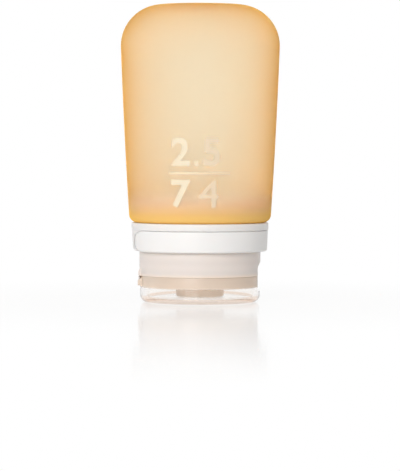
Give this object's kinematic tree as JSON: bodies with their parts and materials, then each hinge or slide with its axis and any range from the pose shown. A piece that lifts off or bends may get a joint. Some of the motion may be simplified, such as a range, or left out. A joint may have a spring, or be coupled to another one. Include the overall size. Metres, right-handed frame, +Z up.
{
  "type": "travel squeeze bottle",
  "caption": "Small soft silicone squeeze bottle standing on its screw cap, with a rigid collar, an open band, a flip lid with thumb scoop, and a slit drip valve.",
  "frame": {"origin": "middle of the flat outer face of the lid, on which the bottle stands", "axes": "+Z up along the bottle to the closed end of the tube; the lid's hinge is on the -X side and its thumb scoop on the +X side"},
  "size_m": [0.0464, 0.0464, 0.0867],
  "materials": {
    "amber_silicone": "matt translucent moulded silicone",
    "clear_neck_plastic": "natural moulded polypropylene",
    "frosted_collar_plastic": "frosted moulded polypropylene",
    "white_band_plastic": "opaque satin moulded plastic",
    "seal_rubber": "soft moulded seal",
    "frosted_cap_plastic": "frosted moulded polypropylene",
    "valve_silicone": "thin translucent silicone",
    "clear_lid_plastic": "clear moulded polypropylene"
  },
  "bodies": {
    "bottle": {"squeeze_tube": "amber_silicone", "threaded_neck": "clear_neck_plastic", "neck_collar": "frosted_collar_plastic", "collar_band": "white_band_plastic"},
    "seal": {"cap_seal": "seal_rubber"},
    "cap": {"cap_base": "frosted_cap_plastic", "drip_valve": "valve_silicone", "valve_retainer": "clear_neck_plastic", "hinge_strap": "frosted_cap_plastic"},
    "lid": {"flip_lid": "clear_lid_plastic"}
  },
  "joints": [
    {"name": "cap_lift", "type": "slide", "parent": "bottle", "child": "seal", "axis": [0, 0, -1], "range_m": [0, 0.0045]},
    {"name": "cap_turn", "type": "hinge", "parent": "seal", "child": "cap", "pos_m": [0, 0, 0.012], "axis": [0, 0, -1], "range_deg": [0, 540]},
    {"name": "lid_flip", "type": "hinge", "parent": "cap", "child": "lid", "pos_m": [-0.01777, 0, 0.00768], "axis": [0, 1, 0], "range_deg": [0, 150]}
  ],
  "couplings": [
    {"joint": "cap_lift", "follows": "cap_turn", "m_per_rad": 0.00047746}
  ]
}
